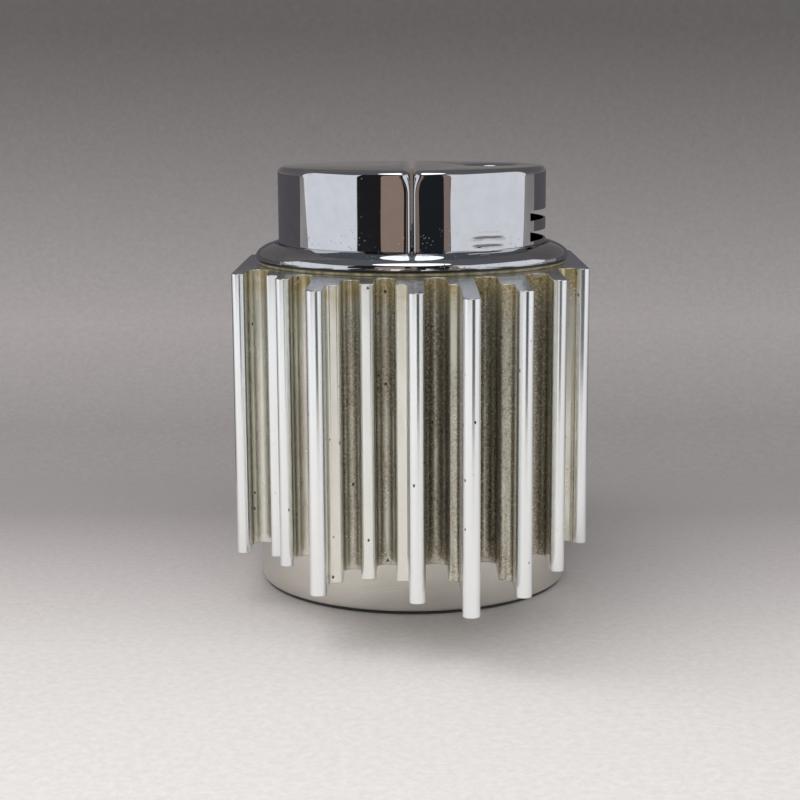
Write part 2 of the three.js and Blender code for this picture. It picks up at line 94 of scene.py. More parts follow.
BUTTON_GAP_FRONT = -17.0     # the button's flat wall stops short of the deck and its screws
BUTTON_GAP_REAR = 19.4
BUTTON_GAP_TOP = 54.3

COLLAR_RADIUS = 24.6
COLLAR_HOLE_RADIUS = 21.5
COLLAR_BOTTOM = 51.45
COLLAR_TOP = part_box("collar")[1].z / M
SKIRT_RADIUS = 22.3
SKIRT_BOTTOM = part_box("collar")[0].z / M

DENT_X = 11.2                # where the hood's front is dented
DENT_Z = 55.2

# The front of the body from left to right: left edge, right edge, reach in front of the
# axis, kind, and how yellowed its lacquer is. The back is the same row turned half a turn.
TIP, STEP, GROOVE = "tip", "step", "groove"
FRONT_ROW = (
    (-26.8, -24.8, 18.5, TIP, 0.00),
    (-24.8, -21.4, 12.0, GROOVE, 0.60),
    (-21.4, -19.7, 20.5, STEP, 0.05),
    (-19.7, -17.5, 26.0, TIP, 0.02),
    (-17.5, -14.4, 20.0, GROOVE, 0.65),
    (-14.4, -12.0, 41.2, TIP, 0.00),
    (-12.0, -10.0, 34.5, STEP, 0.45),
    (-10.0, -7.5, 27.5, GROOVE, 0.78),
    (-7.5, -5.3, 33.0, STEP, 0.22),
    (-5.3, -2.4, 25.0, GROOVE, 0.80),
    (-2.4, -0.6, 34.0, STEP, 0.45),
    (-0.6, 1.7, 45.0, TIP, 0.00),
    (1.7, 5.0, 24.7, GROOVE, 0.95),
    (5.0, 6.5, 34.0, STEP, 0.90),
    (6.5, 8.9, 51.5, TIP, 0.02),
    (8.9, 12.2, 23.8, GROOVE, 1.00),
    (12.2, 14.1, 34.0, STEP, 0.95),
    (14.1, 16.4, 42.5, TIP, 0.00),
    (16.4, 19.8, 19.6, GROOVE, 1.00),
    (19.8, 22.0, 29.3, TIP, 0.02),
    (22.0, 24.8, 12.0, GROOVE, 0.65),
    (24.8, 26.8, 13.4, TIP, 0.00),
)
CORNER_ROUND = {TIP: 0.46, STEP: 0.30, GROOVE: 0.47}   # as a share of the width


# ---------------------------------------------------------------- mesh helpers

def add_object(name, mesh):
    obj = bpy.data.objects.new(name, mesh)
    bpy.context.scene.collection.objects.link(obj)
    return obj


def mesh_object(name, verts, faces):
    """A mesh object from points in millimetres, with its faces pointing out."""
    mesh = bpy.data.meshes.new(name)
    mesh.from_pydata([Vector(v) * M for v in verts], [], faces)
    bm = bmesh.new()
    bm.from_mesh(mesh)
    bmesh.ops.recalc_face_normals(bm, faces=bm.faces)
    bm.to_mesh(mesh)
    bm.free()
    return add_object(name, mesh)


def lathe(name, profile, segments=192):
    """A closed profile of (radius, height) points turned about the Z axis."""
    count = len(profile)
    verts = []
    faces = []
    for i in range(segments):
        angle = 2 * math.pi * i / segments
        for radius, height in profile:
            verts.append((radius * math.cos(angle), radius * math.sin(angle), height))
    for i in range(segments):
        j = (i + 1) % segments
        for k in range(count):
            n = (k + 1) % count
            faces.append((i * count + k, j * count + k, j * count + n, i * count + n))
    return mesh_object(name, verts, faces)


def bake_modifiers(obj):
    """Replaces an object's mesh by the evaluated one and clears its modifiers."""
    depsgraph = bpy.context.evaluated_depsgraph_get()
    evaluated = obj.evaluated_get(depsgraph)
    mesh = bpy.data.meshes.new_from_object(evaluated)
    obj.modifiers.clear()
    obj.data = mesh
    return obj


def boolean(obj, tool, operation):
    modifier = obj.modifiers.new("boolean", "BOOLEAN")
    modifier.operation = operation
    modifier.solver = "MANIFOLD"
    modifier.object = tool
    bpy.context.view_layer.update()
    bake_modifiers(obj)
    bpy.data.objects.remove(tool)
    return obj


def smooth(obj, degrees=35.0):
    mesh = obj.data
    mesh.polygons.foreach_set("use_smooth", [True] * len(mesh.polygons))
    mesh.set_sharp_from_angle(angle=math.radians(degrees))
    return obj


def smooth_by_area(obj, degrees):
    """Smooth shading in which large faces stay true, so small bevels don't tilt their shading."""
    smooth(obj, degrees)
    modifier = obj.modifiers.new("weighted_normals", "WEIGHTED_NORMAL")
    modifier.keep_sharp = True
    bpy.context.view_layer.update()
    return bake_modifiers(obj)


def prism(name, outlines, bottom, top, edge):
    """Extrudes closed plan outlines, the first outside and the rest holes, with bevelled ends."""
    curve = bpy.data.curves.new(name, "CURVE")
    curve.dimensions = "2D"
    curve.fill_mode = "BOTH"
    curve.extrude = ((top - bottom) / 2 - edge) * M
    curve.bevel_depth = edge * M
    curve.bevel_resolution = 2
    curve.offset = -edge * M
    for outline in outlines:
        spline = curve.splines.new("POLY")
        spline.points.add(len(outline) - 1)
        for point, (x, y) in zip(spline.points, outline):
            point.co = (x * M, y * M, 0, 1)
        spline.use_cyclic_u = True
    obj = add_object(name, curve)
    bpy.context.view_layer.update()
    depsgraph = bpy.context.evaluated_depsgraph_get()
    mesh = bpy.data.meshes.new_from_object(obj.evaluated_get(depsgraph))
    bpy.data.objects.remove(obj)
    mesh.transform(Matrix.Translation((0, 0, (top + bottom) / 2 * M)))
    bm = bmesh.new()
    bm.from_mesh(mesh)
    bmesh.ops.remove_doubles(bm, verts=bm.verts, dist=1e-7)
    bmesh.ops.recalc_face_normals(bm, faces=bm.faces)
    bm.to_mesh(mesh)
    bm.free()
    return add_object(name, mesh)


def circle(radius, count, x=0.0, y=0.0):
    return [
        (x + radius * math.cos(2 * math.pi * i / count),
         y + radius * math.sin(2 * math.pi * i / count))
        for i in range(count)
    ]


# ---------------------------------------------------------------- finned body

def rounded_corner(before, corner, after, radius, count=7):
    """The points of an arc of the given radius that replaces a square corner."""
    into = (corner - before).normalized()
    out = (after - corner).normalized()
    start = corner - into * radius
    centre = start + out * radius
    points = []
    for i in range(count):
        angle = math.pi / 2 * i / (count - 1)
        points.append(centre - out * radius * math.cos(angle) + into * radius * math.sin(angle))
    return points


def body_plan():
    """The body's plan outline as (point, yellowing, painted shade) rows, anticlockwise from the front
    left. Painted shade darkens the colour where a groove's floor meets its flanks."""
    corners = []
    for left, right, reach, kind, yellow in FRONT_ROW:
        radius = CORNER_ROUND[kind] * (right - left)
        corners.append((Vector((left, -reach)), radius, yellow))
        corners.append((Vector((right, -reach)), radius, yellow))
    corners += [(-point, radius, yellow) for point, radius, yellow in corners]
    plan = []
    for index, (corner, radius, yellow) in enumerate(corners):
        before = corners[index - 1][0]
        after = corners[(index + 1) % len(corners)][0]
        limit = 0.48 * min((corner - before).length, (after - corner).length)
        arc = rounded_corner(before, corner, after, min(radius, limit))
        inner = (corner - before).cross(after - corner) < 0
        flank_first = abs(corner.x - before.x) < abs(corner.y - before.y)
        for place, point in enumerate(arc):
            from_flank = place if flank_first else len(arc) - 1 - place
            plan.append((point, yellow, float(inner and from_flank < 2)))
    return plan


def foot():
    """The turned foot and the floor that the insert is clamped to."""
    return lathe("foot", [
        (RECESS_RADIUS, FOOT_BOTTOM),
        (FOOT_RADIUS - 0.5, FOOT_BOTTOM),
        (FOOT_RADIUS - 0.15, FOOT_BOTTOM + 0.12),
        (FOOT_RADIUS, FOOT_BOTTOM + 0.45),
        (FOOT_RADIUS, FIN_BOTTOM + 0.6),
        (BORE_RADIUS + 0.8, FLOOR_TOP),
        (FLOOR_HOLE_RADIUS, FLOOR_TOP),
        (FLOOR_HOLE_RADIUS, FLOOR_BOTTOM),
        (RECESS_RADIUS, FLOOR_BOTTOM),
    ])


def mark_ageing(obj, plan):
    """Stores the yellowing and the painted corner shade of each vertex, from the nearest point of the
    plan.
    """
    tree = kdtree.KDTree(len(plan))
    for index, (point, _, _) in enumerate(plan):
        tree.insert((point.x * M, point.y * M, 0), index)
    tree.balance()
    nearest = [plan[tree.find((v.co.x, v.co.y, 0))[1]] for v in obj.data.vertices]
    for name, column in (("yellowing", 1), ("painted_shade", 2)):
        layer = obj.data.attributes.new(name, "FLOAT", "POINT")
        layer.data.foreach_set("value", [row[column] for row in nearest])


def make_body():
    plan = body_plan()
    outline = [(point.x, point.y) for point, _, _ in plan]
    fins = prism("finned_body", [outline, circle(BORE_RADIUS, 192)], FIN_BOTTOM, BODY_TOP, FIN_EDGE)
    boolean(fins, foot(), "UNION")
    mark_ageing(fins, plan)
    return smooth_by_area(fins, 32)


# ---------------------------------------------------------------- cap halves

def half_disc(inset, edge, arc_steps=96, corner_steps=10):
    """A half disc on the +X side of the split, moved in by inset, with its two upright edges
    rounded by edge."""
    radius = CAP_RADIUS - inset
    flat = SPLIT_HALF_GAP + inset
    corner = edge - inset
    centre_x = flat + corner
    centre_y = math.sqrt((radius - corner) ** 2 - centre_x ** 2)
    turn = math.atan2(centre_y, centre_x)
    points = []
    for i in range(corner_steps):
        angle = -math.pi + (math.pi - turn) * i / corner_steps
        points.append((centre_x + corner * math.cos(angle), -centre_y + corner * math.sin(angle)))
    for i in range(arc_steps + 1):
        angle = -turn + 2 * turn * i / arc_steps
        points.append((radius * math.cos(angle), radius * math.sin(angle)))
    for i in range(1, corner_steps + 1):
        angle = turn + (math.pi - turn) * i / corner_steps
        points.append((centre_x + corner * math.cos(angle), centre_y + corner * math.sin(angle)))
    return points


def cap_levels(bottom):
    """(inset, height, edge) of the loops of a half cap, up its outside and down its inside.
    The upright edges open out into a wider round near the top."""
    steps = 8
    shoulder = CAP_TOP - SPLIT_OPENING
    outside = [(0.0, bottom, SPLIT_EDGE)]
    for i in range(steps):
        height = shoulder + (SPLIT_OPENING - CAP_EDGE) * i / steps
        outside.append((0.0, height, split_edge(i / steps)))
    for i in range(steps + 1):
        angle = math.pi / 2 * i / steps
        inset = CAP_EDGE * (1 - math.cos(angle))
        height = CAP_TOP - CAP_EDGE * (1 - math.sin(angle))
        outside.append((inset, height, split_edge(1) + inset * SPLIT_EDGE_GROWTH))
    top_edge = split_edge(1) + CAP_EDGE * SPLIT_EDGE_GROWTH
    inside = [
        (CAP_EDGE, CAP_TOP - CAP_WALL, top_edge),
        (CAP_WALL, CAP_TOP - CAP_EDGE, split_edge(1)),
        (CAP_WALL, shoulder, SPLIT_EDGE),
        (CAP_WALL, bottom, SPLIT_EDGE),
    ]
    return outside, inside


def split_edge(share):
    """Radius of the upright edges, at a share of the way up the opening."""
    return SPLIT_EDGE + (SPLIT_EDGE_TOP - SPLIT_EDGE) * share * share


def ring_strip(bm, lower, upper):
    """Quads between two loops of as many vertices."""
    count = len(lower)
    for i in range(count):
        j = (i + 1) % count
        bm.faces.new((lower[i], lower[j], upper[j], upper[i]))


def loop_verts(bm, points, height, side):
    """Vertices at one height, mirrored to the -X side when side is -1."""
    return [bm.verts.new(Vector((side * x, y, height)) * M) for x, y in points]


def hole_levels():
    """(radius, height) of the loops of the flame hole, from its rolled lip to its lower rim."""
    steps = 4
    levels = []
    for i in range(steps + 1):
        angle = math.pi / 2 * i / steps
        radius = FLAME_HOLE_RADIUS + FLAME_HOLE_LIP * (1 - math.sin(angle))
        levels.append((radius, CAP_TOP - FLAME_HOLE_LIP * (1 - math.cos(angle))))
    levels.append((FLAME_HOLE_RADIUS, CAP_TOP - CAP_WALL))
    return levels


def half_cap(name, side, bottom, with_flame_hole):
    """A thin drawn shell: half of the cap. side is -1 for the button and +1 for the hood."""
    bm = bmesh.new()
    outside, inside = cap_levels(bottom)
    outer = [loop_verts(bm, half_disc(inset, edge), height, side) for inset, height, edge in outside]
    inner = [loop_verts(bm, half_disc(inset, edge), height, side) for inset, height, edge in inside]
    for lower, upper in zip(outer, outer[1:]):
        ring_strip(bm, lower, upper)
    for lower, upper in zip(inner, inner[1:]):
        ring_strip(bm, lower, upper)
    ring_strip(bm, inner[-1], outer[0])
    if with_flame_hole:
        rims = []
        for radius, height in hole_levels():
            rims.append(loop_verts(bm, circle(radius, 96, FLAME_X), height, 1))
        for upper, lower in zip(rims, rims[1:]):
            ring_strip(bm, upper, lower)
        fill_between(bm, outer[-1], rims[0])
        fill_between(bm, inner[0], rims[-1])
    else:
        bm.faces.new(outer[-1])
        bm.faces.new(inner[0])
    bmesh.ops.recalc_face_normals(bm, faces=bm.faces)
    mesh = bpy.data.meshes.new(name)
    bm.to_mesh(mesh)
    bm.free()
    return add_object(name, mesh)


def fill_between(bm, outer, hole):
    """Fills the flat area between two loops that already have faces on their other side."""
    edges = []
    for loop in (outer, hole):
        for i, vert in enumerate(loop):
            edges.append(bm.edges.get((vert, loop[(i + 1) % len(loop)])))
    bmesh.ops.triangle_fill(bm, use_beauty=True, use_dissolve=False, edges=edges)


def box_tool(name, low, high):
    """A plain box between two corners, for cutting or joining."""
    bm = bmesh.new()
    size = Vector(high) - Vector(low)
    middle = (Vector(high) + Vector(low)) / 2
    matrix = Matrix.Translation(middle * M) @ Matrix.Diagonal((*(size * M), 1))
    bmesh.ops.create_cube(bm, size=1, matrix=matrix)
    mesh = bpy.data.meshes.new(name)
    bm.to_mesh(mesh)
    bm.free()
    return add_object(name, mesh)


def slot_tool(bottom, top):
    """A curved bar that cuts an air slot in the hood's wall."""
    steps = 48
    half = math.radians(SLOT_HALF_ANGLE)
    inner = []
    outer = []
    for i in range(steps + 1):
        angle = -half + 2 * half * i / steps
        across = Vector((math.cos(angle), math.sin(angle)))
        inner.append(across * (CAP_RADIUS - 3))
        outer.append(across * (CAP_RADIUS + 2))
    ring = outer + inner[::-1]
    count = len(ring)
    verts = [(x, y, bottom) for x, y in ring] + [(x, y, top) for x, y in ring]
    faces = [tuple(range(count)), tuple(range(count, 2 * count))]
    for i in range(count):
        j = (i + 1) % count
        faces.append((i, j, j + count, i + count))
    return mesh_object("slot_tool", verts, faces)


def make_hood():
    """The right half of the cap, with a rib on its flat wall that shuts off the view through
    the split."""
    hood = half_cap("flame_hood_shell", 1, HOOD_BOTTOM, True)
    for bottom, top in SLOTS:
        boolean(hood, slot_tool(bottom, top), "DIFFERENCE")
    low = (-1, -LEVER_HALF_WIDTH, HOOD_BOTTOM - 1)
    boolean(hood, box_tool("lever_gap", low, (3, LEVER_HALF_WIDTH, LEVER_GAP_TOP)), "DIFFERENCE")
    rib = box_tool("split_rib", (-0.12, 8, 52.5), (SPLIT_HALF_GAP + 0.1, 14, CAP_TOP - CAP_EDGE))
    boolean(hood, rib, "UNION")
    return smooth(hood, 30)


def make_button():
    """The left half of the cap, with its flat wall cut back over the deck."""
    button = half_cap("push_button_shell", -1, BUTTON_BOTTOM, False)
    low = (-3, BUTTON_GAP_FRONT, BUTTON_BOTTOM - 1)
    boolean(button, box_tool("deck_gap", low, (1, BUTTON_GAP_REAR, BUTTON_GAP_TOP)), "DIFFERENCE")
    return smooth(button, 30)


# ---------------------------------------------------------------- collar, gasket and pad

def bezier(points, count):
    """Points of a cubic Bezier curve."""
    result = []
    for i in range(count + 1):
        t = i / count
        weights = ((1 - t) ** 3, 3 * t * (1 - t) ** 2, 3 * t * t * (1 - t), t ** 3)
        result.append((
            sum(w * p[0] for w, p in zip(weights, points)),
            sum(w * p[1] for w, p in zip(weights, points)),
        ))
    return result


def make_collar():
    """The domed ring that the insert hangs by, with the skirt that goes down into the bore."""
    dome = bezier((
        (COLLAR_RADIUS, COLLAR_BOTTOM + 0.6),
        (COLLAR_RADIUS - 0.25, COLLAR_BOTTOM + 1.5),
        (COLLAR_HOLE_RADIUS + 1.4, COLLAR_TOP - 0.35),
        (COLLAR_HOLE_RADIUS + 0.25, COLLAR_TOP),
    ), 24)
    profile = [
        (COLLAR_HOLE_RADIUS, SKIRT_BOTTOM),
        (SKIRT_RADIUS, SKIRT_BOTTOM),
        (SKIRT_RADIUS, COLLAR_BOTTOM),
        (COLLAR_RADIUS - 0.2, COLLAR_BOTTOM),
        (COLLAR_RADIUS - 0.06, COLLAR_BOTTOM + 0.1),
        *dome,
        (COLLAR_HOLE_RADIUS + 0.08, COLLAR_TOP - 0.06),
        (COLLAR_HOLE_RADIUS, COLLAR_TOP - 0.25),
    ]
    return smooth(lathe("collar_ring", profile, 256), 40)


def make_gasket():
    """The band under the collar, slightly bulged and out of round with age."""
    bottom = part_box("collar_gasket")[0].z / M
    top = COLLAR_BOTTOM - 0.03
    outer = COLLAR_RADIUS - 0.35
    inner = SKIRT_RADIUS + 0.1
    swell = 0.12
    steps = 6
    bulge = []
    for i in range(steps + 1):
        radius = outer - swell + swell * math.sin(math.pi * i / steps)
        bulge.append((radius, bottom + (top - bottom) * i / steps))
    gasket = lathe("aged_gasket", [(inner, bottom), *bulge, (inner, top)], 256)
    for vertex in gasket.data.vertices:
        angle = math.atan2(vertex.co.y, vertex.co.x)
        wobble = math.sin(7 * angle) + 0.7 * math.sin(17 * angle + 1) + 0.5 * math.sin(41 * angle + 2)
        scale = 1 - 0.0012 * (1 + wobble / 2.2)
        vertex.co.x *= scale
        vertex.co.y *= scale
    return smooth(gasket, 50)


def make_pad():
    """The felt ring under the foot, with rounded edges."""
    low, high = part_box("base_pad")
    outer = high.x / M
    inner = RECESS_RADIUS + 0.6
    bottom = low.z / M
    top = high.z / M
    edge = 0.25
    nick = 0.07
    return smooth(lathe("felt_pad", [
        (inner, bottom + edge),
        (inner + edge, bottom),
        (outer - edge, bottom),
        (outer - nick, bottom + 0.08),
        (outer, bottom + edge),
        (outer, top - edge),
        (outer - nick, top - 0.08),
        (outer - edge, top),
        (inner, top),
    ], 192), 60)


# ---------------------------------------------------------------- springs

def make_spring(name, node, turns, wire):
    """A round-wire coil that fills its CAD node's box."""
    low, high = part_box(node)
    centre = (low + high) / 2 / M
    radius = (high.x - low.x) / 2 / M - wire
    bottom = low.z / M + wire
    top = high.z / M - wire
    sides = 12
    steps = turns * 28
    verts = []
    for i in range(steps + 1):
        t = i / steps
        angle = 2 * math.pi * turns * t
        outward = Vector((math.cos(angle), math.sin(angle), 0))
        spot = Vector((centre.x, centre.y, bottom + (top - bottom) * t)) + outward * radius
        for k in range(sides):
            around = 2 * math.pi * k / sides
            rise = Vector((0, 0, wire * math.sin(around)))
            verts.append(spot + outward * wire * math.cos(around) + rise)
    faces = [tuple(range(sides)), tuple(range(steps * sides, (steps + 1) * sides))]
    for i in range(steps):
        for k in range(sides):
            n = (k + 1) % sides
            faces.append((i * sides + k, i * sides + n, (i + 1) * sides + n, (i + 1) * sides + k))
    return smooth(mesh_object(name, verts, faces), 50)


# ---------------------------------------------------------------- materials

class Nodes:
    """A short way to write a node material around one Principled shader."""

    def __init__(self, name):
        self.material = bpy.data.materials.new(name)
        self.material.use_nodes = True
        self.tree = self.material.node_tree
        self.shader = self.tree.nodes["Principled BSDF"]

    def link(self, source, target):
        """Feeds a socket from a number, a colour or another node's output."""
        if isinstance(source, (int, float)):
            target.default_value = source
        elif isinstance(source, tuple):
            target.default_value = (*source, 1) if len(source) == 3 else source
        else:
            self.tree.links.new(source, target)

    def set(self, **values):
        """Feeds the shader's inputs, named as in Base_color."""
        for name, value in values.items():
            self.link(value, self.shader.inputs[name.replace("_", " ").title()])

    def new(self, kind):
        return self.tree.nodes.new(kind)

    def position(self, scale=(1, 1, 1)):
        """The point on the object in millimetres, stretched by a scale."""
        coordinates = self.new("ShaderNodeTexCoord")
        mapping = self.new("ShaderNodeMapping")
        mapping.inputs["Scale"].default_value = [s / M for s in scale]
        self.tree.links.new(coordinates.outputs["Object"], mapping.inputs["Vector"])
        return mapping.outputs["Vector"]

    def split(self, vector):
        node = self.new("ShaderNodeSeparateXYZ")
        self.tree.links.new(vector, node.inputs[0])
        return node.outputs

    def normal(self):
        return self.split(self.new("ShaderNodeNewGeometry").outputs["True Normal"])

    def attribute(self, name):
        node = self.new("ShaderNodeAttribute")
        node.attribute_name = name
        return node.outputs["Fac"]

    def math(self, operation, a, b=0.0, c=0.0):
        node = self.new("ShaderNodeMath")
        node.operation = operation
        for value, socket in zip((a, b, c), node.inputs):
            self.link(value, socket)
        return node.outputs[0]

    def step(self, value, low, high, to_low=0.0, to_high=1.0):
        """A smooth ramp from to_low at low to to_high at high."""
        node = self.new("ShaderNodeMapRange")
        node.interpolation_type = "SMOOTHSTEP"
        for item, number in (("Value", value), ("From Min", low), ("From Max", high),
                             ("To Min", to_low), ("To Max", to_high)):
            self.link(number, node.inputs[item])
        return node.outputs[0]

    def noise(self, vector, scale, detail=3.0, roughness=0.55):
        """Cloudy noise from 0 to 1, about 1 / scale millimetres across."""
        node = self.new("ShaderNodeTexNoise")
        self.link(vector, node.inputs["Vector"])
        node.inputs["Scale"].default_value = scale
        node.inputs["Detail"].default_value = detail
        node.inputs["Roughness"].default_value = roughness
        return node.outputs["Fac"]

    def cells(self, vector, scale, output="Distance"):
        """Scattered cells: the distance to the nearest cell's middle, or a colour for each cell."""
        node = self.new("ShaderNodeTexVoronoi")
        self.link(vector, node.inputs["Vector"])
        node.inputs["Scale"].default_value = scale
        return node.outputs[output]

    def mix(self, factor, a, b):
        node = self.new("ShaderNodeMix")
        node.data_type = "RGBA"
        self.link(factor, node.inputs["Factor"])
        self.link(a, node.inputs[6])
        self.link(b, node.inputs[7])
        return node.outputs[2]

    def ramp(self, value, stops):
        """A piecewise straight curve through (value, result) stops."""
        low = stops[0][0]
        high = stops[-1][0]
        share = self.new("ShaderNodeMapRange")
        self.link(value, share.inputs["Value"])
        share.inputs["From Min"].default_value = low
        share.inputs["From Max"].default_value = high
        node = self.new("ShaderNodeValToRGB")
        self.link(share.outputs[0], node.inputs["Fac"])
        elements = node.color_ramp.elements
        while len(elements) < len(stops):
            elements.new(1.0)
        for element, (place, _) in zip(elements, stops):
            element.position = (place - low) / (high - low)
        for element, (_, tone) in zip(elements, stops):
            element.color = (tone, tone, tone, 1)
        return node.outputs["Color"]

    def tint(self, tone, colour):
        """A grey tone multiplied by a colour."""
        node = self.new("ShaderNodeVectorMath")
        node.operation = "MULTIPLY"
        self.link(tone, node.inputs[0])
        node.inputs[1].default_value = colour
        return node.outputs[0]

    def bump(self, height, distance_mm, strength=1.0):
        node = self.new("ShaderNodeBump")
        node.inputs["Strength"].default_value = strength
        node.inputs["Distance"].default_value = distance_mm * M
        self.link(height, node.inputs["Height"])
        return node.outputs["Normal"]

    def hide_back(self):
        """Makes the surface clear where it is seen from behind."""
        clear = self.new("ShaderNodeBsdfTransparent")
        blend = self.new("ShaderNodeMixShader")
        facing = self.new("ShaderNodeNewGeometry")
        self.link(facing.outputs["Backfacing"], blend.inputs[0])
        self.link(self.shader.outputs[0], blend.inputs[1])
        self.link(clear.outputs[0], blend.inputs[2])
        self.link(blend.outputs[0], self.tree.nodes["Material Output"].inputs[0])


def pits(nodes, place, spacing, size, share):
    """A mask of small round pits: one per cell of the given spacing, in a share of the cells."""
    distance = nodes.cells(place, 1 / spacing)
    chance = nodes.split(nodes.cells(place, 1 / spacing, "Color"))[0]
    near = nodes.step(distance, size / spacing * 0.6, size / spacing, 1.0, 0.0)
    chosen = nodes.step(chance, share, share + 0.02, 1.0, 0.0)
    return nodes.math("MULTIPLY", near, chosen)


def lacquer_colour(n, z, streaks, aged):
    """Bright metal where the lacquer is worn off, then cream and olive, and amber at the top."""
    bright = n.mix(n.step(streaks, 0.3, 0.7), (0.90, 0.93, 0.945), (0.945, 0.97, 0.985))
    cream = n.mix(streaks, (0.82, 0.81, 0.71), (0.94, 0.93, 0.87))
    olive = n.mix(n.step(streaks, 0.25, 0.75), (0.47, 0.43, 0.33), (0.72, 0.68, 0.59))
    colour = n.mix(n.step(aged, 0.02, 0.45), bright, cream)
    colour = n.mix(n.step(aged, 0.45, 0.95), colour, olive)
    near_top = n.step(z, BODY_TOP - 6, BODY_TOP - 0.5)
    patches = n.step(n.noise(n.position(), 0.6), 0.35, 0.6, 0.35, 0.95)
    amber = n.math("MULTIPLY", near_top, n.step(aged, 0.25, 0.6))
    amber = n.math("MULTIPLY", amber, patches)
    return n.mix(amber, colour, (0.62, 0.52, 0.27))


def grit_and_corner_shade_colour(n, colour, light_grain, dark_grain, on_fins):
    """Grit in the lacquer, and painted shade where a groove's floor meets its flanks."""
    colour = n.mix(n.math("MULTIPLY", light_grain, 0.8), colour, (0.86, 0.83, 0.70))
    colour = n.mix(n.math("MULTIPLY", dark_grain, 0.75), colour, (0.17, 0.14, 0.08))
    # Painted shade: the colour goes dark olive in the inner corners of the grooves.
    corner_shade = n.math("MULTIPLY", n.attribute("painted_shade"), on_fins)
    patches = n.step(n.noise(n.position(), 0.8), 0.3, 0.6, 0.3, 0.8)
    return n.mix(n.math("MULTIPLY", corner_shade, patches), colour, (0.20, 0.18, 0.11))


def turned_lines(n, x, y, z, level, on_foot):
    """Fine tool marks: rings on the level faces and lines round the foot."""
    radius = n.math("SQRT", n.math("ADD", n.math("MULTIPLY", x, x), n.math("MULTIPLY", y, y)))
    rings = n.math("SINE", n.math("MULTIPLY", radius, 26.0))
    foot_lines = n.math("MULTIPLY", n.math("SINE", n.math("MULTIPLY", z, 30.0)), on_foot)
    return n.math("MULTIPLY_ADD", rings, level, foot_lines)


def body_material():
    """Cut aluminium under a lacquer that has gone yellow and gritty in the grooves."""
    n = Nodes("lacquered_aluminium")
    place = n.position()
    x, y, z = n.split(place)
    upright = n.step(n.math("ABSOLUTE", n.normal()[2]), 0.5, 0.8, 1.0, 0.0)
    level = n.math("SUBTRACT", 1.0, upright)
    on_foot = n.step(z, FIN_BOTTOM + 0.02, FIN_BOTTOM + 0.04, 1.0, 0.0)
    on_fins = n.math("MULTIPLY", upright, n.math("SUBTRACT", 1.0, on_foot))
    streaks = n.noise(n.position((2.2, 2.2, 0.03)), 1.0, 4.0)
    blotches = n.noise(n.position((0.25, 0.25, 0.09)), 1.0, 3.0)
    grains = n.noise(place, 2.7, 2.0, 0.7)
    aged = n.math("MULTIPLY", n.attribute("yellowing"), on_fins)
    aged = n.math("MULTIPLY", aged, n.step(blotches, 0.25, 0.75, 0.7, 1.1))
    gritty = n.step(aged, 0.55, 0.9)
    light_grain = n.math("MULTIPLY", n.step(grains, 0.56, 0.66), gritty)
    dark_grain = n.math("MULTIPLY", n.step(grains, 0.45, 0.35), gritty)
    holes = n.math("MULTIPLY", pits(n, n.position((1, 1, 0.7)), 1.3, 0.20, 0.32), on_fins)
    holes = n.math("MULTIPLY", holes, n.step(blotches, 0.42, 0.52))

    colour = lacquer_colour(n, z, streaks, aged)
    colour = grit_and_corner_shade_colour(n, colour, light_grain, dark_grain, on_fins)
    colour = n.mix(holes, colour, (0.05, 0.045, 0.04))
    # Painted reflection: the level faces get streaks like skim marks, coloured blue-grey to stand in
    # for the reflected surroundings.
    skim_and_reflection_streaks = n.step(n.noise(n.position((0.25, 1.5, 1.0)), 1.0, 4.0), 0.3, 0.7)
    top_painted_reflection = n.mix(skim_and_reflection_streaks, (0.42, 0.46, 0.52), (0.86, 0.88, 0.92))
    colour = n.mix(n.math("MULTIPLY", level, 0.85), colour, top_painted_reflection)
    foot_cloud = n.noise(n.position((0.12, 0.12, 0.5)), 1.0)
    foot_tone = n.mix(foot_cloud, (0.66, 0.63, 0.57), (0.80, 0.78, 0.73))
    colour = n.mix(on_foot, colour, foot_tone)

    rough = n.step(aged, 0.0, 0.6, 0.16, 0.22)
    rough = n.math("ADD", rough, n.step(blotches, 0.3, 0.8, 0.0, 0.05))
    rough = n.math("MULTIPLY_ADD", on_foot, 0.12, rough)
    rough = n.math("MULTIPLY_ADD", light_grain, 0.15, rough)
    relief = n.math("MULTIPLY", grains, n.math("MULTIPLY", gritty, 1.3))
    relief = n.math("MULTIPLY_ADD", streaks, 0.4, relief)
    relief = n.math("MULTIPLY_ADD", turned_lines(n, x, y, z, level, on_foot), 0.25, relief)
    relief = n.math("MULTIPLY_ADD", holes, -2.0, relief)
    metal = n.math("MULTIPLY_ADD", n.math("MULTIPLY", aged, upright), -0.40, 0.95)
    n.set(Base_color=colour, Roughness=rough, Metallic=metal, Normal=n.bump(relief, 0.03, 0.45))
    n.set(Coat_weight=0.12, Coat_roughness=0.15)
    return n.material


def hood_dents(n, place):
    """Level waves on the front of the hood, inside an oval patch round DENT_X and DENT_Z."""
    x, y, z = n.split(place)
    across = n.math("DIVIDE", n.math("SUBTRACT", x, DENT_X), 3.4)
    along = n.math("DIVIDE", n.math("SUBTRACT", z, DENT_Z), 1.9)
    away = n.math("ADD", n.math("MULTIPLY", across, across), n.math("MULTIPLY", along, along))
    patch = n.step(away, 0.1, 1.0, 1.0, 0.0)
    patch = n.math("MULTIPLY", patch, n.step(y, -14.0, -12.0, 1.0, 0.0))
    waves = n.math("SINE", n.math("MULTIPLY_ADD", z, 5.2, n.noise(place, 0.4, 1.0)))
    return n.math("MULTIPLY", waves, patch)


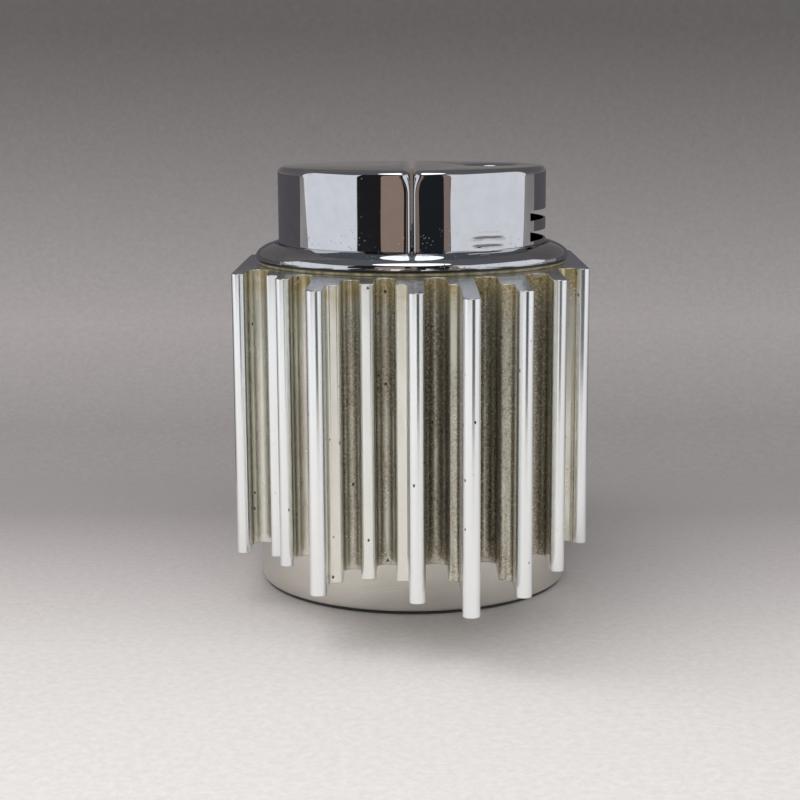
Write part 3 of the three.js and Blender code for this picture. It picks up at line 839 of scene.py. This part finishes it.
def chrome_material():
    """Bright plating with small pits near its lower edge, and a few dents low on the hood, whose dark
    reflections are painted into the colour.
    """
    n = Nodes("chrome_plating")
    place = n.position()
    low = n.step(n.split(place)[2], 54.2, 58.5, 1.0, 0.0)
    worn = n.step(n.noise(place, 0.35, 2.0), 0.42, 0.55)
    small = n.math("MULTIPLY", pits(n, place, 0.5, 0.10, 0.7), n.math("MULTIPLY", low, worn))
    rare = pits(n, place, 1.9, 0.10, 0.22)
    spots = n.math("MAXIMUM", small, rare)
    haze = n.noise(place, 0.5, 4.0)
    colour = n.mix(n.step(haze, 0.3, 0.7), (0.64, 0.65, 0.68), (0.68, 0.69, 0.715))
    colour = n.mix(spots, colour, (0.10, 0.09, 0.08))
    rough = n.step(haze, 0.35, 0.8, 0.02, 0.05)
    rough = n.math("MULTIPLY_ADD", spots, 0.4, rough)
    dents_and_dark_bands = hood_dents(n, place)
    # Painted reflection: dark bands are drawn into the colour over the dents.
    colour = n.mix(n.step(dents_and_dark_bands, 0.25, 0.8, 0.0, 0.8), colour, (0.09, 0.09, 0.10))
    ripple = n.noise(n.position((0.3, 0.3, 0.06)), 1.0, 1.0)
    ripple = n.math("ADD", ripple, n.math("MULTIPLY", dents_and_dark_bands, 1.2))
    ripple = n.math("MULTIPLY_ADD", spots, -0.5, ripple)
    n.set(Base_color=colour, Roughness=rough, Metallic=1.0, Normal=n.bump(ripple, 0.03, 1.0))
    return n.material


def metal_material(name, dark, light, roughness):
    """Satin plated or turned metal for the small parts."""
    n = Nodes(name)
    grain = n.noise(n.position((1.0, 1.0, 0.2)), 2.0, 4.0)
    n.set(Base_color=n.mix(grain, dark, light), Metallic=1.0)
    n.set(Roughness=n.step(grain, 0.3, 0.7, roughness - 0.06, roughness + 0.08))
    n.set(Normal=n.bump(grain, 0.01, 0.4))
    return n.material


def moulded_material(name, dark, light, roughness):
    """Moulded plastic, rubber or glazed ceramic with a fine grain."""
    n = Nodes(name)
    place = n.position()
    grain = n.noise(place, 3.3, 2.0)
    cloud = n.noise(place, 0.2, 3.0)
    n.set(Base_color=n.mix(cloud, dark, light), Normal=n.bump(grain, 0.01, 0.3))
    n.set(Roughness=n.step(cloud, 0.3, 0.7, roughness - 0.05, roughness + 0.08))
    return n.material


def gasket_material():
    """Yellowed sealing ring: dark with painted shadow under the collar, olive and gold below."""
    n = Nodes("aged_gasket")
    place = n.position()
    z = n.split(place)[2]
    cloud = n.noise(place, 0.9, 4.0)
    colour = n.mix(n.step(cloud, 0.3, 0.7), (0.22, 0.20, 0.10), (0.55, 0.50, 0.30))
    # Painted shadow: the ring goes near black where the collar's edge shades it.
    painted_shade = n.step(z, BODY_TOP + 0.30, BODY_TOP + 0.55)
    colour = n.mix(painted_shade, colour, (0.03, 0.028, 0.02))
    n.set(Base_color=colour, Roughness=0.35, Normal=n.bump(cloud, 0.05, 0.6))
    return n.material


def felt_material():
    """Black felt, matt and fibrous."""
    n = Nodes("dark_felt")
    place = n.position()
    fibres = n.noise(place, 3.5, 6.0, 0.8)
    n.set(Base_color=n.mix(fibres, (0.010, 0.010, 0.011), (0.035, 0.034, 0.032)), Roughness=0.95)
    n.set(Normal=n.bump(fibres, 0.15, 0.9), Sheen_weight=0.4)
    return n.material


# ---------------------------------------------------------------- camera, stage and lights

CAMERA_PLACE = Vector((0.0, -264.4, 75.65)) * M
CAMERA_PITCH = 10.15
CAMERA_YAW = -0.44
CAMERA_ROLL = -0.32
CAMERA_LENS = 75.2


def make_camera():
    """The camera, turned by its yaw, tipped down by its pitch and then rolled."""
    pitch = math.radians(CAMERA_PITCH)
    yaw = math.radians(CAMERA_YAW)
    level = Vector((math.sin(yaw), math.cos(yaw), 0))
    forward = level * math.cos(pitch) - Vector((0, 0, math.sin(pitch)))
    right = forward.cross(Vector((0, 0, 1))).normalized()
    up = right.cross(forward)
    roll = math.radians(CAMERA_ROLL)
    rolled_right = right * math.cos(roll) + up * math.sin(roll)
    rolled_up = rolled_right.cross(forward)
    data = bpy.data.cameras.new("camera")
    data.lens = CAMERA_LENS
    data.sensor_width = 36
    data.clip_start = 0.01
    camera = add_object("camera", data)
    axes = Matrix((rolled_right, rolled_up, -forward)).transposed().to_4x4()
    camera.matrix_world = Matrix.Translation(CAMERA_PLACE) @ axes
    bpy.context.scene.camera = camera


SWEEP_START = 62.0           # where the paper behind the lighter begins to curve up
SWEEP_RADIUS = 95.0
FLOOR_FRONT = -600.0
STAGE_HALF_WIDTH = 620.0
WALL_HEIGHT = 700.0


def make_sweep():
    """Pale paper: a floor that curves up into a backdrop."""
    profile = [(FLOOR_FRONT, 0.0), (-150.0, 0.0), (0.0, 0.0), (SWEEP_START, 0.0)]
    steps = 24
    for i in range(1, steps + 1):
        angle = math.pi / 2 * i / steps
        y = SWEEP_START + SWEEP_RADIUS * math.sin(angle)
        profile.append((y, SWEEP_RADIUS * (1 - math.cos(angle))))
    profile.append((SWEEP_START + SWEEP_RADIUS, WALL_HEIGHT))
    count = len(profile)
    verts = [(-STAGE_HALF_WIDTH, y, z) for y, z in profile]
    verts += [(STAGE_HALF_WIDTH, y, z) for y, z in profile]
    faces = [(i, i + count, i + count + 1, i + 1) for i in range(count - 1)]
    mesh = bpy.data.meshes.new("paper_sweep")
    mesh.from_pydata([Vector(v) * M for v in verts], [], faces)
    sweep = smooth(add_object("paper_sweep", mesh), 60)
    sweep.data.materials.append(paper_material())


# Painted shading of the paper along the sweep, by y + z, standing in for the light's falloff: pale in
# front, dark where it begins to curve up, a little paler low on the backdrop and dark towards its
# top.
PAINTED_PAPER_SHADING = (
    (-90, 0.95),
    (-40, 0.85),
    (40, 0.42),
    (100, 0.34),
    (150, 0.40),
    (250, 0.15),
    (330, 0.11),
)


def paper_material():
    """Grainy paper that is only seen from its front, so it never hides the lighter."""
    n = Nodes("pale_paper")
    place = n.position()
    _, y, z = n.split(place)
    grain = n.noise(place, 0.8, 6.0, 0.85)
    # Painted shade: the light's falloff along the sweep is drawn into the paper's colour.
    tone = n.ramp(n.math("ADD", y, z), PAINTED_PAPER_SHADING)
    tone = n.math("MULTIPLY", tone, n.step(grain, 0.25, 0.75, 0.91, 1.09))
    near_tint = n.tint(tone, (1.0, 0.975, 0.955))
    far_tint = n.tint(tone, (1.0, 0.945, 0.945))
    n.set(Base_color=n.mix(n.step(y, -60, 20), near_tint, far_tint), Roughness=0.9)
    n.set(Normal=n.bump(grain, 0.3, 0.3))
    n.hide_back()
    return n.material


def panel(name, corners, colour, strength):
    """A flat glowing or dark card that only shows in reflections; corners in millimetres."""
    mesh = bpy.data.meshes.new(name)
    mesh.from_pydata([Vector(c) * M for c in corners], [], [tuple(range(len(corners)))])
    card = add_object(name, mesh)
    material = bpy.data.materials.new(name)
    material.use_nodes = True
    tree = material.node_tree
    tree.nodes.clear()
    glow = tree.nodes.new("ShaderNodeEmission")
    glow.inputs["Color"].default_value = (*colour, 1)
    glow.inputs["Strength"].default_value = strength
    output = tree.nodes.new("ShaderNodeOutputMaterial")
    tree.links.new(glow.outputs[0], output.inputs[0])
    card.data.materials.append(material)
    card.visible_camera = False
    card.visible_diffuse = False
    card.visible_shadow = False


def upright_card(name, from_degrees, to_degrees, distance, bottom, top, colour, strength):
    """An upright card that spans a range of directions, measured from the camera's, as seen
    from the lighter; positive degrees are to the right."""
    ends = []
    for degrees in (from_degrees, to_degrees):
        angle = math.radians(degrees)
        ends.append((distance * math.sin(angle), -distance * math.cos(angle)))
    (x0, y0), (x1, y1) = ends
    corners = [(x0, y0, bottom), (x1, y1, bottom), (x1, y1, top), (x0, y0, top)]
    panel(name, corners, colour, strength)


def floor_card(name, from_degrees, to_degrees, near, far, colour, strength):
    """A card that lies just above the floor, over a range of directions and distances."""
    start = math.radians(from_degrees)
    end = math.radians(to_degrees)
    corners = []
    for angle, distance in ((start, near), (end, near), (end, far), (start, far)):
        corners.append((distance * math.sin(angle), -distance * math.cos(angle), 0.4))
    panel(name, corners, colour, strength)


def overhead_cards():
    """A round lamp in front and above, which the collar reflects, and a dark ceiling."""
    lamp = [(135 * x, -175 - 80 * y, 360 - 45 * y) for x, y in circle(1.0, 48)]
    panel("front_lamp", lamp, (1.0, 0.99, 0.97), 2.2)
    ceiling = [(-700, -500, 560), (700, -500, 560), (700, 500, 560), (-700, 500, 560)]
    panel("dark_ceiling", ceiling, (0.33, 0.35, 0.38), 0.35)


def key_light():
    """A soft lamp behind on the left; its shadow falls forward to the right."""
    key = bpy.data.lights.new("key_light", "AREA")
    key.energy = 1.15
    key.size = 0.46
    key.color = (1.0, 0.98, 0.96)
    lamp = add_object("key_light", key)
    lamp.location = Vector((-220, 70, 460)) * M
    aim = Vector((0, -20, 20)) * M - lamp.location
    lamp.rotation_euler = aim.to_track_quat("-Z", "Y").to_euler()
    lamp.visible_glossy = False


def room_light():
    """Even light from every side."""
    world = bpy.data.worlds.new("room")
    world.use_nodes = True
    background = world.node_tree.nodes["Background"]
    background.inputs["Color"].default_value = (1.0, 0.985, 0.98, 1)
    background.inputs["Strength"].default_value = 0.90
    bpy.context.scene.world = world


def make_lights():
    upright_card("left_softbox", -98, -45, 480, 0, 330, (0.93, 0.95, 1.0), 0.90)
    upright_card("right_softbox", 31, 115, 480, 0, 330, (0.95, 0.965, 1.0), 0.86)
    upright_card("dark_card_left", -46, 3, 420, 15, 420, (0.34, 0.32, 0.34), 0.05)
    upright_card("dark_card_right", 3, 32, 420, -5, 420, (0.30, 0.36, 0.42), 0.05)
    upright_card("low_white_card", -60, 3, 262, 0, 33, (1.0, 1.0, 1.0), 0.92)
    upright_card("warm_card_left", -25, -5, 250, 33, 200, (0.62, 0.45, 0.36), 0.52)
    upright_card("warm_card_middle", -1, 3.5, 250, 33, 200, (0.60, 0.46, 0.36), 0.42)
    upright_card("warm_card_right", 25.5, 31, 250, 33, 200, (0.66, 0.48, 0.42), 0.42)
    # Painted shadow: a dark card on the floor in front, seen only in reflections, stands for a shadow
    # that falls there.
    floor_card("painted_floor_shadow", 3, 27, 225, 600, (0.30, 0.30, 0.32), 0.12)
    upright_card("dark_side_left", -178, -101, 112, 0, 66, (0.30, 0.28, 0.31), 0.33)
    upright_card("dark_side_right", 118, 178, 112, 0, 66, (0.30, 0.28, 0.31), 0.33)
    overhead_cards()
    key_light()
    room_light()
    bpy.context.scene.view_settings.view_transform = "Standard"


# ---------------------------------------------------------------- assembly

def place_piece(obj, material, slot, body, *nodes):
    """Gives a piece its material and the body it moves with, and hides the CAD nodes it stands for;
    slot is not used.
    """
    obj.data.materials.clear()
    obj.data.materials.append(material)
    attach(obj, body)
    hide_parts(*nodes)


def dress_cad_nodes(materials):
    """Carried-over CAD nodes get a procedural material and softly bevelled edges."""
    slots = {row["node"]: row["material_slot"] for row in frame["record"]["subparts"]}
    for name, obj in frame["nodes"].items():
        if obj.hide_render:
            continue
        material = materials[slots[name]]
        if not obj.material_slots:
            obj.data.materials.append(material)
        for entry in obj.material_slots:
            entry.material = material
        smooth(obj, 40)
        bevel = obj.modifiers.new("soft_edges", "BEVEL")
        bevel.width = 0.07 * M
        bevel.segments = 2
        bevel.limit_method = "ANGLE"
        bevel.angle_limit = math.radians(50)


def make_materials():
    """One material for each material slot of the record."""
    return {
        "body_aluminium": body_material(),
        "chrome_plate": chrome_material(),
        "steel": metal_material("satin_steel", (0.42, 0.42, 0.43), (0.62, 0.62, 0.63), 0.34),
        "brass": metal_material("turned_brass", (0.55, 0.38, 0.14), (0.75, 0.56, 0.26), 0.3),
        "felt": felt_material(),
        "gasket": gasket_material(),
        "black_plastic": moulded_material(
            "black_plastic", (0.012, 0.012, 0.013), (0.03, 0.03, 0.03), 0.5),
        "white_plastic": moulded_material(
            "white_plastic", (0.58, 0.56, 0.48), (0.66, 0.64, 0.57), 0.45),
        "ceramic": moulded_material(
            "glazed_ceramic", (0.72, 0.69, 0.62), (0.80, 0.78, 0.73), 0.22),
        "seal_rubber": moulded_material(
            "seal_rubber", (0.010, 0.010, 0.010), (0.022, 0.022, 0.022), 0.7),
        "lead_insulation": moulded_material(
            "lead_insulation", (0.22, 0.02, 0.015), (0.30, 0.04, 0.03), 0.4),
    }


def place_shells(materials):
    chrome = materials["chrome_plate"]
    place_piece(make_body(), materials["body_aluminium"], "body_aluminium", BODY, "body_extrusion")
    place_piece(make_hood(), chrome, "chrome_plate", BODY, "flame_hood")
    place_piece(make_button(), chrome, "chrome_plate", "button", "push_button")
    place_piece(make_collar(), chrome, "chrome_plate", BODY, "collar")
    place_piece(make_gasket(), materials["gasket"], "gasket", BODY, "collar_gasket")
    place_piece(make_pad(), materials["felt"], "felt", BODY, "base_pad")


def place_springs(steel):
    """The two springs, each a round-wire coil with a mesh of its own."""
    return_spring = make_spring("return_spring", "button_return_spring", 4, 0.32)
    place_piece(return_spring, steel, "steel", BODY, "button_return_spring")
    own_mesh(return_spring)

    filler_spring = make_spring("filler_valve_spring", "filler_spring", 5, 0.18)
    place_piece(filler_spring, steel, "steel", BODY, "filler_spring")
    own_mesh(filler_spring)


def main():
    make_camera()
    materials = make_materials()
    place_shells(materials)
    place_springs(materials["steel"])
    dress_cad_nodes(materials)
    make_sweep()
    make_lights()


main()
